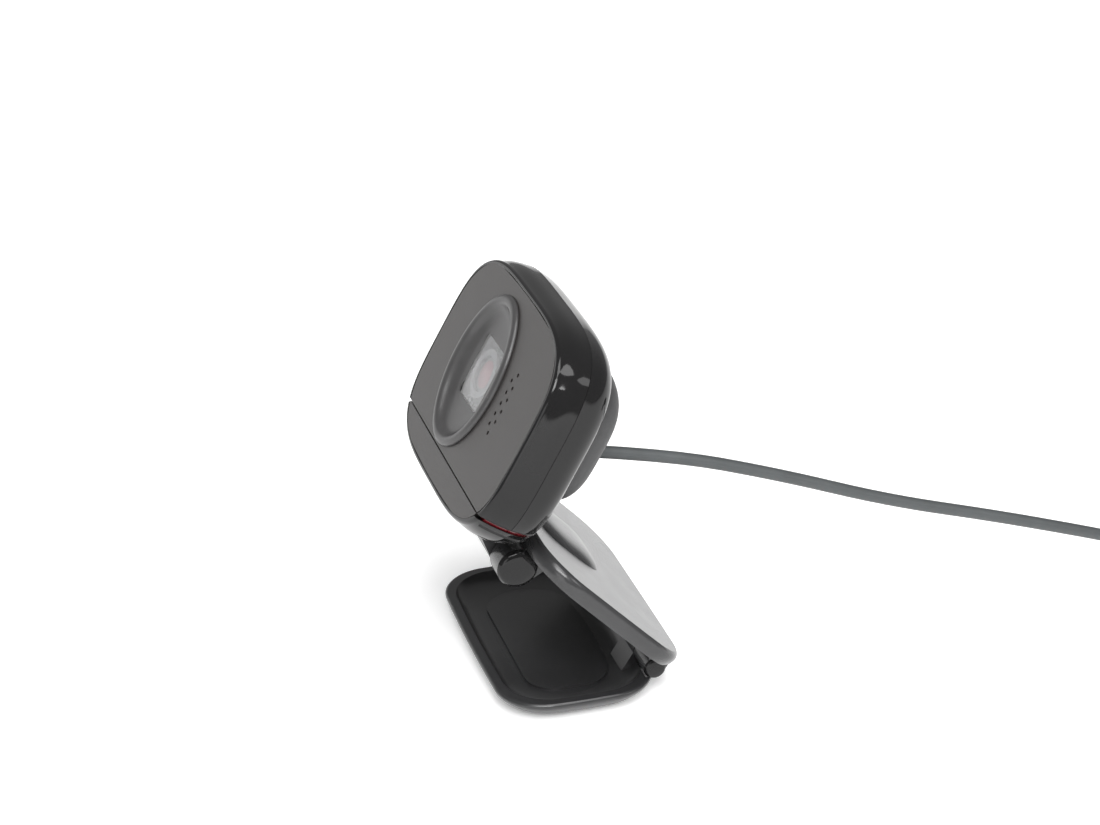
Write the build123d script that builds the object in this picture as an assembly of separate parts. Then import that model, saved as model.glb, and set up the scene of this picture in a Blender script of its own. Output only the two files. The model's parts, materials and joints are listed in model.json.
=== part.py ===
from build123d import *
import os
from math import sin, cos, tan, radians, degrees, pi, atan2, hypot

os.makedirs("parts", exist_ok=True)

# ---------------------------------------------------------------- dimensions (mm)
# stand
FOOT_W, FOOT_D = 66.0, 37.6          # lower plate at its rim
FOOT_Y0, FOOT_Y1 = -17.6, 20.0       # its front and rear
RIM_Z = 5.0                          # height of the lower plate's rim
LEG_ANGLE = 45.0                     # opening between the two plates at rest
LEG_Y, LEG_Z = 19.0, 6.9             # leg hinge axis (along X)
LEG_L, LEG_T = 46.0, 4.0             # upper plate length and thickness
LEG_TOP = 34.6 / 2 ** 0.5            # distance of its outer face from the origin
LEG_S0 = -34.0                       # front end, along the slope
TILT_Y, TILT_Z = -11.2, 33.8         # tilt hinge axis (along X)
KNUCKLE_R, BARREL_R, TILT_PIN_R = 4.7, 4.2, 1.5
NECK_HALF, KNUCKLE_END = 13.6, 20.0
# head
HEAD_TILT = 29.0                     # face leans back from upright
FACE_Y, FACE_Z = -14.5, 69.5         # centre of the face
HEAD_W, HEAD_H = 68.5, 50.0
HEAD_T = 15.6                        # glossy body, front to back
P = 3.8                              # roundness of the outline
SEAM = -17.6                         # swivel plane, below the face centre
PART_Z = -7.5                        # parting plane of the two glossy shells
WALL = 1.8
LENS_U, LENS_V = -4.8, 2.0           # camera axis on the face
SWIVEL_Z = -8.2                      # swivel axis, behind the face
# cord
CORD_D = 3.0
CORD_LEN = 1500.0
COIL_R = 16.5
GAP = 0.3

HEAD = Plane(origin=(0, FACE_Y, FACE_Z), x_dir=(1, 0, 0),
             z_dir=(0, -cos(radians(HEAD_TILT)), sin(radians(HEAD_TILT))))
# slope frame of the upper plate: local x along X, y down the slope, z out of its outer face
LEG = Plane(origin=(0, 0, 0), x_dir=(1, 0, 0),
            z_dir=(0, sin(radians(LEG_ANGLE)), cos(radians(LEG_ANGLE))))


def out(shape, name):
    if isinstance(shape, (list, ShapeList)):
        shape = Compound(children=list(shape))
    shape.label = name
    export_step(shape, "parts/" + name + ".step")


def corner_centre(a, b, rx, ry, r):
    """Centre of the corner arc of radius r that is tangent inside both side arcs."""
    x, y = a - r, b - r
    for _ in range(40):
        f = hypot(x - a + rx, y) - (rx - r)
        g = hypot(x, y - b + ry) - (ry - r)
        fx, fy = (x - a + rx) / (f + rx - r), y / (f + rx - r)
        gx, gy = x / (g + ry - r), (y - b + ry) / (g + ry - r)
        det = fx * gy - fy * gx
        x, y = x - (f * gy - g * fy) / det, y - (g * fx - f * gx) / det
    return x, y


def outline_arcs(a, b, p):
    """Side radii, corner radius and corner centre of eight tangent arcs that follow a squircle."""
    d = 1 - (1 - 0.5 ** p) ** (1 / p)
    rx, ry = (0.5 * b) ** 2 / (2 * a * d), (0.5 * a) ** 2 / (2 * b * d)
    rx, ry = max(rx, 1.05 * b * 0.9), max(ry, 1.05 * a * 0.9)
    qx, qy = a * 2 ** (-1 / p), b * 2 ** (-1 / p)
    lo, hi = 0.08 * min(a, b), 0.97 * min(a, b, rx, ry)
    for _ in range(40):
        r = (lo + hi) / 2
        x, y = corner_centre(a, b, rx, ry, r)
        if hypot(qx - x, qy - y) < r:      # arc passes outside the point: rounder corner
            lo = r
        else:
            hi = r
    x, y = corner_centre(a, b, rx, ry, r)
    return r, x, y, rx, ry


def squircle(a, b, p, z, cu=0.0, cv=0.0):
    r, cx, cy, rx, ry = outline_arcs(a, b, p)
    ox, oy = a - rx, b - ry                       # centres of the side arcs
    ux, uy = (cx - ox) / hypot(cx - ox, cy), cy / hypot(cx - ox, cy)
    wx, wy = cx / hypot(cx, cy - oy), (cy - oy) / hypot(cx, cy - oy)
    m = hypot(ux + wx, uy + wy)
    qx, qy = cx + r * (ux + wx) / m, cy + r * (uy + wy) / m
    lx = hypot(cx - ox, cy)
    t1 = (ox + rx * (cx - ox) / lx, rx * cy / lx)
    ly = hypot(cx, cy - oy)
    t2 = (ry * cx / ly, oy + ry * (cy - oy) / ly)

    def q(x, y):
        return (cu + x, cv + y, z)
    ed = []
    ed.append(Edge.make_three_point_arc(q(t1[0], -t1[1]), q(a, 0), q(*t1)))
    ed.append(Edge.make_three_point_arc(q(*t1), q(qx, qy), q(*t2)))
    ed.append(Edge.make_three_point_arc(q(*t2), q(0, b), q(-t2[0], t2[1])))
    ed.append(Edge.make_three_point_arc(q(-t2[0], t2[1]), q(-qx, qy), q(-t1[0], t1[1])))
    ed.append(Edge.make_three_point_arc(q(-t1[0], t1[1]), q(-a, 0), q(-t1[0], -t1[1])))
    ed.append(Edge.make_three_point_arc(q(-t1[0], -t1[1]), q(-qx, -qy), q(-t2[0], -t2[1])))
    ed.append(Edge.make_three_point_arc(q(-t2[0], -t2[1]), q(0, -b), q(t2[0], -t2[1])))
    ed.append(Edge.make_three_point_arc(q(t2[0], -t2[1]), q(qx, -qy), q(t1[0], -t1[1])))
    return Face(Wire(ed))


def oval(a, b, z, cu=0.0, cv=0.0):
    pl = Plane(origin=(cu, cv, z), x_dir=(0, 1, 0), z_dir=(0, 0, 1))
    return Face(Wire([Edge.make_ellipse(b, a, pl)]))


def oval_body(sections):
    """Solid through ellipses (a, b, z), b the longer half."""
    return Solid.make_loft([oval(*q).outer_wire() for q in sections])


def body_from(sections):
    """Solid through squircle sections (a, b, p, z[, cu, cv])."""
    return Solid.make_loft([squircle(*s).outer_wire() for s in sections])


def block(x0, x1, y0, y1, z0, z1):
    return Pos((x0 + x1) / 2, (y0 + y1) / 2, (z0 + z1) / 2) * Box(x1 - x0, y1 - y0, z1 - z0)


def rod(r, p0, p1):
    p0, p1 = Vector(*p0), Vector(*p1)
    return Solid.make_cylinder(r, (p1 - p0).length, Plane(origin=p0, z_dir=(p1 - p0)))


def rod_x(r, x0, x1, y, z):
    return rod(r, (x0, y, z), (x1, y, z))


def placed(plane, shape):
    return plane.location * shape


def screw_local(x, y, z, r, length, head_r, head_h, up=1):
    """Pan head screw: head at z, shank towards -z (up=1) or +z (up=-1)."""
    h = rod(head_r, (x, y, z), (x, y, z + up * head_h))
    s = rod(r, (x, y, z), (x, y, z - up * length))
    slot = block(x - head_r * 0.7, x + head_r * 0.7, y - 0.2, y + 0.2,
                 min(z + up * head_h * 0.5, z + up * head_h), max(z + up * head_h * 0.5, z + up * head_h))
    slot2 = block(x - 0.2, x + 0.2, y - head_r * 0.7, y + head_r * 0.7,
                  min(z + up * head_h * 0.5, z + up * head_h), max(z + up * head_h * 0.5, z + up * head_h))
    return (h + s) - slot - slot2


# ================================================================= head, local frame
A, B = HEAD_W / 2, HEAD_H / 2
outer = body_from([(A - 0.75, B - 0.75, P, 0.0), (A - 0.1, B - 0.1, P, -1.3), (A + 0.75, B + 0.9, P, -4.2),
                   (A + 1.1, B + 1.3, P, PART_Z), (A + 0.5, B + 0.6, P, -11.4),
                   (A - 1.0, B - 1.0, P - 0.2, -14.2), (A - 3.6, B - 3.6, P - 0.4, -HEAD_T)])
cavity = Solid.extrude(squircle(A - 1.6, B - 1.6, P, -12.6), Vector(0, 0, 11.0))
above = block(-60, 60, SEAM + GAP, 60, -60, 20)
below = block(-60, 60, -60, SEAM - 0.7, -60, 20)
front_half = block(-60, 60, -60, 60, PART_Z + 0.02, 20)
rear_half = block(-60, 60, -60, 60, -60, PART_Z - 0.02)

panel_blank = Solid.extrude(squircle(A - 1.35, B - 1.35, P, -1.6), Vector(0, 0, 1.55))
panel_pocket = Solid.extrude(squircle(A - 1.3, B - 1.3, P, -1.6), Vector(0, 0, 3.0))
shell = outer - panel_pocket
FLOOR = SEAM + GAP + 1.5                       # top of the head's floor
ROOF = SEAM - 0.7 - 1.6                        # underside of the chin's roof
head_cavity = cavity & block(-60, 60, FLOOR, 60, -20, 5)
chin_cavity = cavity & block(-60, 60, -60, ROOF, -20, 5)
swivel_bore = rod(3.05, (0, SEAM - 5, SWIVEL_Z), (0, SEAM + 6, SWIVEL_Z))

# back opening and back shell
BACK_V = 3.0
back_hole = Solid.extrude(squircle(27.2, 15.2, 4, -HEAD_T - 3, 0, BACK_V), Vector(0, 0, 6.1))
head_shell = (shell & above) - head_cavity
front_housing = (head_shell & front_half) - swivel_bore
rear_housing = (head_shell & rear_half) - back_hole - swivel_bore
# screw bosses, front shell
bosses = []
BOSS = [(-25, 15.5), (25, 15.5), (-25, -11.0), (25, -11.0)]
for x, y in BOSS:
    bosses.append(rod(2.3, (x, y, PART_Z + 0.1), (x, y, -1.65)) - rod(0.7, (x, y, PART_Z), (x, y, -4.0)))

# face panel, mic holes, indicator opening, camera opening
face_panel = panel_blank & above
cam_cut = Solid.extrude(oval(13.6, 17.8, -4, LENS_U, LENS_V), Vector(0, 0, 8))
MIC = [(15.3, 10.2), (13.7, 8.2), (15.9, 7.2), (14.1, 5.4), (16.3, 4.4), (14.3, 2.7), (16.5, 1.6), (14.2, 0.1),
       (16.3, -1.1), (14.1, -2.5), (15.6, -4.2)]
for u, v in MIC:
    cam_cut = cam_cut + rod(0.48, (u, v, -4), (u, v, 4))
face_panel = face_panel - cam_cut
chin_face_strip = panel_blank & block(-60, 60, -60, SEAM - 0.05, -60, 20)

# camera bezel: raised elliptical ring with a bowl and a square light opening
bez_out = oval_body([(13.5, 17.7, -2.6, LENS_U, LENS_V), (13.5, 17.7, 0.0, LENS_U, LENS_V)])
bez_rim = oval_body([(14.5, 18.7, 0.0, LENS_U, LENS_V), (14.3, 18.5, 0.55, LENS_U, LENS_V),
                     (13.3, 17.5, 1.05, LENS_U, LENS_V)])
bez_bowl = oval_body([(12.1, 16.3, 1.6, LENS_U, LENS_V), (11.4, 15.6, 0.6, LENS_U, LENS_V),
                      (9.6, 13.6, -1.0, LENS_U, LENS_V)])
win_hole = block(LENS_U - 6.6, LENS_U + 6.6, LENS_V - 7.4, LENS_V + 7.4, -4, 0)
win_seat = block(LENS_U - 7.3, LENS_U + 7.3, LENS_V - 8.1, LENS_V + 8.1, -4, -1.5)
lens_bezel = (bez_out + bez_rim) - bez_bowl - win_hole - win_seat
lens_window = block(LENS_U - 7.2, LENS_U + 7.2, LENS_V - 8.0, LENS_V + 8.0, -2.3, -1.55)

# camera module
CZ = -10.6
main_board = block(-21.5, 21.5, -9.6, 16.6, CZ - 1.2, CZ)
main_board = main_board - rod(0.9, (0, 13.5, CZ - 3), (0, 13.5, CZ + 3))
image_sensor = block(LENS_U - 3.6, LENS_U + 3.6, LENS_V - 3.6, LENS_V + 3.6, CZ + 0.02, CZ + 1.0)
lens_holder = block(LENS_U - 5.2, LENS_U + 5.2, LENS_V - 5.2, LENS_V + 5.2, CZ + 0.02, CZ + 3.4)
lens_holder = lens_holder + rod(4.9, (LENS_U, LENS_V, CZ + 3.3), (LENS_U, LENS_V, CZ + 5.2))
lens_holder = lens_holder - rod(4.02, (LENS_U, LENS_V, CZ + 1.9), (LENS_U, LENS_V, CZ + 8))
lens_holder = lens_holder - block(LENS_U - 4.0, LENS_U + 4.0, LENS_V - 4.0, LENS_V + 4.0, CZ - 1, CZ + 1.9)
ir_filter = rod(3.3, (LENS_U, LENS_V, CZ + 1.95), (LENS_U, LENS_V, CZ + 2.4))
lens_barrel = rod(4.0, (LENS_U, LENS_V, CZ + 2.45), (LENS_U, LENS_V, CZ + 7.6))
lens_barrel = lens_barrel - rod(2.9, (LENS_U, LENS_V, CZ + 2), (LENS_U, LENS_V, CZ + 9))
rear_element = rod(2.88, (LENS_U, LENS_V, CZ + 3.0), (LENS_U, LENS_V, CZ + 4.2))
front_element = rod(2.88, (LENS_U, LENS_V, CZ + 5.6), (LENS_U, LENS_V, CZ + 6.5))
dome = Pos(LENS_U, LENS_V, CZ + 6.5 - 4.6) * Sphere(5.42)
front_element = front_element + (dome & rod(2.88, (LENS_U, LENS_V, CZ + 6.4), (LENS_U, LENS_V, CZ + 9)))
lens_hood = rod(5.9, (LENS_U, LENS_V, -2.9), (LENS_U, LENS_V, -2.4)) - rod(4.3, (LENS_U, LENS_V, -4), (LENS_U, LENS_V, 0))
lens_hood = lens_hood + (rod(4.9, (LENS_U, LENS_V, CZ + 5.25), (LENS_U, LENS_V, -2.8)) - rod(4.3, (LENS_U, LENS_V, -9), (LENS_U, LENS_V, 0)))

microphone = rod(3.0, (15.2, 3.0, -4.6), (15.2, 3.0, -2.2))
microphone_gasket = rod(3.8, (15.2, 3.0, -4.6), (15.2, 3.0, -1.65)) - rod(3.02, (15.2, 3.0, -5), (15.2, 3.0, -2.15)) \
    - block(13.2, 17.2, -2.0, 8.0, -2.3, 0)
LED_U, LED_V = LENS_U + 13.3, LENS_V - 0.6
status_led = block(LED_U - 0.9, LED_U + 0.9, LED_V - 0.6, LED_V + 0.6, CZ + 0.02, CZ + 0.8)
led_light_pipe = rod(0.6, (LED_U, LED_V, CZ + 0.82), (LED_U, LED_V, 0.95))
lens_bezel = lens_bezel - rod(0.62, (LED_U, LED_V, -5), (LED_U, LED_V, 5))
face_panel = face_panel - rod(0.62, (LED_U, LED_V, -5), (LED_U, LED_V, 5))
cord_header = block(-5, 5, -9.4, -5.0, CZ - 4.6, CZ - 1.22)
processor_chip = block(6, 15, 0, 9, CZ - 2.1, CZ - 1.22)
board_screw = screw_local(0, 13.5, CZ + 0.02, 0.8, 5.4, 1.6, 0.9)

# back shell, matte
bs_out = Solid.extrude(squircle(27.0, 15.0, 4, -HEAD_T - 0.9, 0, BACK_V), Vector(0, 0, 3.1))
bs_cap = body_from([(28.9, 16.9, 3.8, -HEAD_T - 0.05, 0, BACK_V), (28.3, 16.3, 3.8, -18.2, 0, BACK_V),
                    (26.6, 14.8, 3.6, -21.0, 0, BACK_V), (22.6, 11.6, 3.4, -23.0, 0, BACK_V),
                    (17.0, 8.0, 3.2, -23.9, 0, BACK_V)])
bs_in = Solid.extrude(squircle(25.2, 13.2, 4, -20.2, 0, BACK_V), Vector(0, 0, 12))
back_shell = (bs_out + bs_cap) - bs_in
back_shell = back_shell + (rod(2.4, (0, 13.5, CZ - 1.25), (0, 13.5, -21.5)) - rod(0.8, (0, 13.5, CZ), (0, 13.5, CZ - 6)))

# cord outlet, low on the back, straight out along the head's depth then level
EXIT_V = -8.0
OUT_DIR = Vector(0, cos(radians(10.5)), -sin(radians(10.5)))      # world direction of the boot
exit_world = HEAD.from_local_coords(Vector(0, EXIT_V, -21.6))
boot_start = exit_world - OUT_DIR * 1.6
boot_end = exit_world + OUT_DIR * 12.4
boot_dir_plane = Plane(origin=boot_start, x_dir=(1, 0, 0), z_dir=OUT_DIR)
grommet = Solid.make_cylinder(3.4, 3.2, boot_dir_plane.offset(-0.6))
taper = Solid.make_cone(3.0, 2.1, 11.4, boot_dir_plane.offset(2.6))
strain_relief = (grommet + taper)
strain_relief = strain_relief - Solid.make_cylinder(CORD_D / 2, 40, boot_dir_plane.offset(-10))
boot_rings = None
for i in range(4):
    g = boot_dir_plane.offset(5.0 + i * 2.1)
    ring = Solid.make_cylinder(3.6, 0.7, g) - Solid.make_cylinder(2.35 - 0.16 * i, 0.7, g)
    strain_relief = strain_relief - ring

# swivel stack on the chin, turning in the head's floor
swivel_plate = block(-12, 12, FLOOR + 0.02, FLOOR + 0.6, SWIVEL_Z - 4.2, SWIVEL_Z + 4.2) - swivel_bore
# ================================================================= chin (below the seam)
chin_shell = (shell & below) - chin_cavity
chin_shell = chin_shell - rod(1.6, (0, SEAM - 9, SWIVEL_Z), (0, SEAM + 3, SWIVEL_Z))
ring_outer = body_from([(A - 0.35, B - 0.35, P, -1.3), (A + 0.5, B + 0.65, P, -4.2),
                        (A + 0.85, B + 1.05, P, PART_Z), (A + 0.25, B + 0.35, P, -11.4),
                        (A - 1.25, B - 1.25, P - 0.2, -14.2), (A - 3.6, B - 3.6, P - 0.4, -HEAD_T + 0.2)])
accent_ring = ring_outer & block(-60, 60, SEAM - 0.68, SEAM, -60, -1.7)
accent_ring = accent_ring - block(-28, 28, -60, 60, -12.8, -3.2)
swivel_post = rod(3.0, (0, SEAM - 0.68, SWIVEL_Z), (0, FLOOR + 0.8, SWIVEL_Z))
swivel_post = swivel_post - rod(1.3, (0, SEAM - 9, SWIVEL_Z), (0, SEAM + 9, SWIVEL_Z))
# the washer sits on the post's end, just clear above the steel plate in the head's floor
swivel_spring_washer = rod(4.2, (0, FLOOR + 0.82, SWIVEL_Z), (0, FLOOR + 1.3, SWIVEL_Z)) \
    - rod(1.35, (0, SEAM - 9, SWIVEL_Z), (0, SEAM + 9, SWIVEL_Z))
swivel_screw = rod(1.28, (0, SEAM - 8.0, SWIVEL_Z), (0, FLOOR + 1.32, SWIVEL_Z)) \
    + rod(2.4, (0, FLOOR + 1.32, SWIVEL_Z), (0, FLOOR + 2.5, SWIVEL_Z))
swivel_screw = swivel_screw - block(-1.6, 1.6, FLOOR + 1.9, SEAM + 9, SWIVEL_Z - 0.3, SWIVEL_Z + 0.3)

# ================================================================= neck (part frame)
n_out = Vector(0, -cos(radians(HEAD_TILT)), sin(radians(HEAD_TILT)))
v_up = Vector(0, sin(radians(HEAD_TILT)), cos(radians(HEAD_TILT)))


def world_yz(v, n):
    q = HEAD.from_local_coords(Vector(0, v, n))
    return (q.Y, q.Z)


def yz_prism(pts, x0, x1):
    f = Face(Polyline([(x0, y, z) for y, z in pts], close=True).wire())
    return Solid.extrude(f, Vector(x1 - x0, 0, 0))


neck_prof = [world_yz(-22.6, -5.4), world_yz(-22.6, -13.4), world_yz(-26.4, -13.4),
             (TILT_Y + BARREL_R * cos(radians(62)), TILT_Z + BARREL_R * sin(radians(62))),
             (TILT_Y, TILT_Z),
             (TILT_Y - BARREL_R * cos(radians(18)), TILT_Z - BARREL_R * sin(radians(18)))]
neck_block = yz_prism(neck_prof, -NECK_HALF, NECK_HALF)
neck_block = neck_block + rod_x(BARREL_R, -NECK_HALF, NECK_HALF, TILT_Y, TILT_Z)
tilt_bore = rod_x(TILT_PIN_R + 0.05, -40, KNUCKLE_END - 1.4, TILT_Y, TILT_Z)   # blind at one end
# the neck plugs up into the chin, whose floor is cut away for it
neck_cut = yz_prism([world_yz(-16, -5.37), world_yz(-16, -13.43), world_yz(-34, -13.43), world_yz(-34, -5.37)],
                    -NECK_HALF - 0.03, NECK_HALF + 0.03)
neck_socket = Solid.extrude(Face(Polyline([(-NECK_HALF - 0.03, -30, -5.37), (NECK_HALF + 0.03, -30, -5.37),
                                                (NECK_HALF + 0.03, -30, -13.43), (-NECK_HALF - 0.03, -30, -13.43)],
                                               close=True).wire()), Vector(0, 7.5, 0))
chin_shell = chin_shell - neck_socket
screw_hole = rod(1.3, (0, SEAM - 9, SWIVEL_Z), (0, SEAM + 9, SWIVEL_Z))
neck_post = rod(3.2, (0, -22.65, SWIVEL_Z), (0, ROOF - 0.02, SWIVEL_Z))
neck_block = neck_block + placed(HEAD, neck_post)
neck_block = neck_block - placed(HEAD, screw_hole) - tilt_bore

# ================================================================= upper plate (slope frame -> world)
zt = LEG_TOP
# outline in the slope frame: squircle about its middle, with the low end trimmed level
MID_S = LEG_S0 + LEG_L / 2
up_body = Solid.make_loft([squircle(32.6, LEG_L / 2 - 0.5, 5.4, zt - LEG_T, 0, MID_S).outer_wire(),
                           squircle(33.1, LEG_L / 2, 5.4, zt - LEG_T + 1.2, 0, MID_S).outer_wire(),
                           squircle(33.1, LEG_L / 2, 5.4, zt - 0.9, 0, MID_S).outer_wire(),
                           squircle(32.3, LEG_L / 2 - 0.8, 5.4, zt, 0, MID_S).outer_wire()])
LEG_W = Plane(origin=(0, 0, 0), x_dir=(1, 0, 0), z_dir=(0, sin(radians(LEG_ANGLE)), cos(radians(LEG_ANGLE))))


def slope(shape):
    return LEG_W.location * shape


upper_plate = slope(up_body)
level_cut = block(-60, 60, -60, 80, -20, 8.2)
upper_plate = upper_plate - level_cut
# knuckles at the front for the neck
for sx in (-1, 1):
    x0, x1 = (NECK_HALF + GAP, KNUCKLE_END) if sx > 0 else (-KNUCKLE_END, -NECK_HALF - GAP)
    k = rod_x(KNUCKLE_R, x0, x1, TILT_Y, TILT_Z)
    # web from the barrel to the plate's inner face
    web = yz_prism([(TILT_Y - 3.3, TILT_Z + 3.35), (TILT_Y + 3.32, TILT_Z - 3.32),
                    (TILT_Y + 3.32 + 5.6, TILT_Z - 3.32 + 3.2), (TILT_Y + 3.0, TILT_Z + 4.6)], x0, x1)
    upper_plate = upper_plate + k + web
relief = rod_x(BARREL_R + 0.4, -NECK_HALF - GAP, NECK_HALF + GAP, TILT_Y, TILT_Z)
neck_notch = yz_prism([(TILT_Y, TILT_Z), (TILT_Y + 4.6, TILT_Z + 1.0), (TILT_Y + 5.0, TILT_Z + 12.0),
                       (TILT_Y - 12.0, TILT_Z + 12.0)], -NECK_HALF - GAP, NECK_HALF + GAP)
notch_round = rod_x(9.3, -NECK_HALF - GAP, NECK_HALF + GAP, TILT_Y, TILT_Z)
upper_plate = upper_plate - relief - (neck_notch & notch_round)
# shallow dish in the inner face
dish = slope(Solid.make_loft([squircle(27.5, 15.0, 4, zt - LEG_T + 0.9, 0, MID_S + 1.6).outer_wire(),
                              squircle(29.0, 16.5, 4, zt - LEG_T - 0.6, 0, MID_S + 1.6).outer_wire()]))
upper_plate = upper_plate - (dish - block(-21.5, 21.5, -60, 0.5, 0, 80))
upper_plate = upper_plate - tilt_bore
# leg hinge knuckles of the upper plate (outer pair) and its pin bore
UK = [(-27.0, -19.5), (19.5, 27.0)]
LK = [(-19.2, -11.0), (11.0, 19.2)]
HR = 2.6
for x0, x1 in UK:
    kb = rod_x(HR, x0, x1, LEG_Y, LEG_Z)
    arm = yz_prism([(LEG_Y - 1.6, LEG_Z + 1.6), (LEG_Y + 2.3, LEG_Z - 0.9), (LEG_Y + 4.2, LEG_Z + 1.9),
                    (LEG_Y + 3.0, LEG_Z + 4.2), (LEG_Y - 1.2, LEG_Z + 4.8)], x0, x1)
    upper_plate = upper_plate + (kb + arm)
for x0, x1 in LK + [(-10.8, 10.8)]:
    upper_plate = upper_plate - rod_x(HR + 0.35, x0 - 0.3, x1 + 0.3, LEG_Y, LEG_Z)
leg_bore = rod_x(1.05, -40, 25.6, LEG_Y, LEG_Z)   # blind at one end
upper_plate = upper_plate - leg_bore

# spine cover on the outer face: raised central strip with a rounded end
SP_S0, SP_S1 = LEG_S0 + 0.9, -7.5
def stadium(hw, s0, s1, z):
    pts = []
    # straight front end, round rear end
    f = Polyline([(-hw, s0, z), (hw, s0, z), (hw, s1 - hw * 0.75, z)])
    arc = ThreePointArc((hw, s1 - hw * 0.75, z), (0, s1, z), (-hw, s1 - hw * 0.75, z))
    g = Line((-hw, s1 - hw * 0.75, z), (-hw, s0, z))
    return Face(Wire(f.edges() + [arc.edge(), g.edge()]))


spine_cover = slope(Solid.make_loft([stadium(11.0, SP_S0, SP_S1, zt + 0.02).outer_wire(),
                                     stadium(10.4, SP_S0 + 0.3, SP_S1 - 0.5, zt + 1.5).outer_wire(),
                                     stadium(9.2, SP_S0 + 0.9, SP_S1 - 1.5, zt + 2.2).outer_wire()]))
spine_cover = spine_cover - notch_round
# friction pad on the inner face, in the dish
up_pad = slope(extrude(Pos(0, -9.6, zt - LEG_T + 0.15) * RectangleRounded(53.0, 17.0, 5.0), amount=0.7))
upper_pad = up_pad
# two screws through the plate hold the spine cover
spine_screws = []
for s in (-22.0, -14.0):
    upper_plate = upper_plate - slope(rod(0.85, (0, s, zt - 9), (0, s, zt + 0.9)))
    spine_cover = spine_cover - slope(rod(0.82, (0, s, zt - 1), (0, s, zt + 1.4)))
    spine_screws.append(slope(rod(0.8, (0, s, zt - LEG_T + 1.6), (0, s, zt + 1.3)) +
                              rod(1.6, (0, s, zt - LEG_T + 0.9), (0, s, zt - LEG_T + 1.65))))
    upper_plate = upper_plate - slope(rod(1.7, (0, s, zt - 9), (0, s, zt - LEG_T + 1.68)))
    upper_pad = upper_pad - slope(rod(1.9, (0, s, zt - 9), (0, s, zt + 1)))

# ================================================================= lower plate (root)
CY = (FOOT_Y0 + FOOT_Y1) / 2
HD = FOOT_D / 2
lower = Solid.make_loft([squircle(FOOT_W / 2 - 3.6, HD - 3.4, 4.4, 0.6, 0, CY).outer_wire(),
                         squircle(FOOT_W / 2 - 2.0, HD - 1.9, 4.4, 1.6, 0, CY).outer_wire(),
                         squircle(FOOT_W / 2 - 0.5, HD - 0.5, 4.4, 3.2, 0, CY).outer_wire(),
                         squircle(FOOT_W / 2, HD, 4.4, 4.4, 0, CY).outer_wire(),
                         squircle(FOOT_W / 2 - 0.5, HD - 0.5, 4.4, RIM_Z, 0, CY).outer_wire()])
tray = Solid.make_loft([squircle(FOOT_W / 2 - 8.5, HD - 7.5, 3.0, 2.1, 0, CY).outer_wire(),
                        squircle(FOOT_W / 2 - 5.5, HD - 5.0, 3.6, 2.6, 0, CY).outer_wire(),
                        squircle(FOOT_W / 2 - 3.0, HD - 2.9, 4.2, 4.0, 0, CY).outer_wire(),
                        squircle(FOOT_W / 2 - 2.3, HD - 2.2, 4.4, RIM_Z + 0.3, 0, CY).outer_wire()])
lower_plate = lower - tray
# ears for the leg hinge at the rear
for x0, x1 in LK:
    ear = rod_x(HR, x0, x1, LEG_Y, LEG_Z)
    arm = yz_prism([(LEG_Y - 2.55, LEG_Z), (LEG_Y + 2.0, LEG_Z - 1.6), (LEG_Y - 0.6, 3.0), (LEG_Y - 5.4, 2.4)], x0, x1)
    lower_plate = lower_plate + (ear + arm)
for x0, x1 in UK:
    lower_plate = lower_plate - rod_x(HR + 0.4, x0 - 0.3, x1 + 0.3, LEG_Y, LEG_Z)
lower_plate = lower_plate - leg_bore
lower_plate = lower_plate - rod_x(HR + 0.3, -10.8, 10.8, LEG_Y, LEG_Z)
# seats in the underside for the rubber foot
foot_seat = Solid.extrude(squircle(FOOT_W / 2 - 7.0, HD - 6.2, 3.4, 0.0, 0, CY), Vector(0, 0, 1.0))
lower_plate = lower_plate - foot_seat
rubber_foot = Solid.extrude(squircle(FOOT_W / 2 - 7.05, HD - 6.25, 3.4, 0.0, 0, CY), Vector(0, 0, 0.98))
# soft inner pad that lies in the dish
inner_pad = extrude(Pos(0, CY, 2.12) * RectangleRounded(45.0, 19.6, 7.0), amount=0.45)

# ================================================================= pins and springs
leg_hinge_pin = rod_x(1.0, -26.6, 25.5, LEG_Y, LEG_Z)
# leg friction spring: a rolled clip between the ears that grips the pin
leg_spring = rod_x(2.1, -10.5, 10.5, LEG_Y, LEG_Z) - rod_x(1.03, -12, 12, LEG_Y, LEG_Z) \
    - block(-12, 12, LEG_Y - 0.35, LEG_Y + 0.35, LEG_Z + 0.5, LEG_Z + 4)
tilt_pin = rod_x(TILT_PIN_R, -KNUCKLE_END + 0.5, KNUCKLE_END - 1.5, TILT_Y, TILT_Z)
tilt_bush = []
neck_block = neck_block - rod_x(2.6, -NECK_HALF - 1, -NECK_HALF + 3.0, TILT_Y, TILT_Z) \
    - rod_x(2.6, NECK_HALF - 3.0, NECK_HALF + 1, TILT_Y, TILT_Z)
for sx in (-1, 1):
    x0, x1 = sorted((sx * (NECK_HALF - 2.98), sx * (NECK_HALF - 0.02)))
    tilt_bush.append(rod_x(2.58, x0, x1, TILT_Y, TILT_Z) - rod_x(TILT_PIN_R + 0.04, x0 - 1, x1 + 1, TILT_Y, TILT_Z))
tilt_washers = []
for sx in (-1, 1):
    x0, x1 = sorted((sx * (NECK_HALF + 0.06), sx * (NECK_HALF + 0.24)))
    tilt_washers.append(rod_x(3.6, x0, x1, TILT_Y, TILT_Z) - rod_x(TILT_PIN_R + 0.02, x0 - 1, x1 + 1, TILT_Y, TILT_Z))

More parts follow.
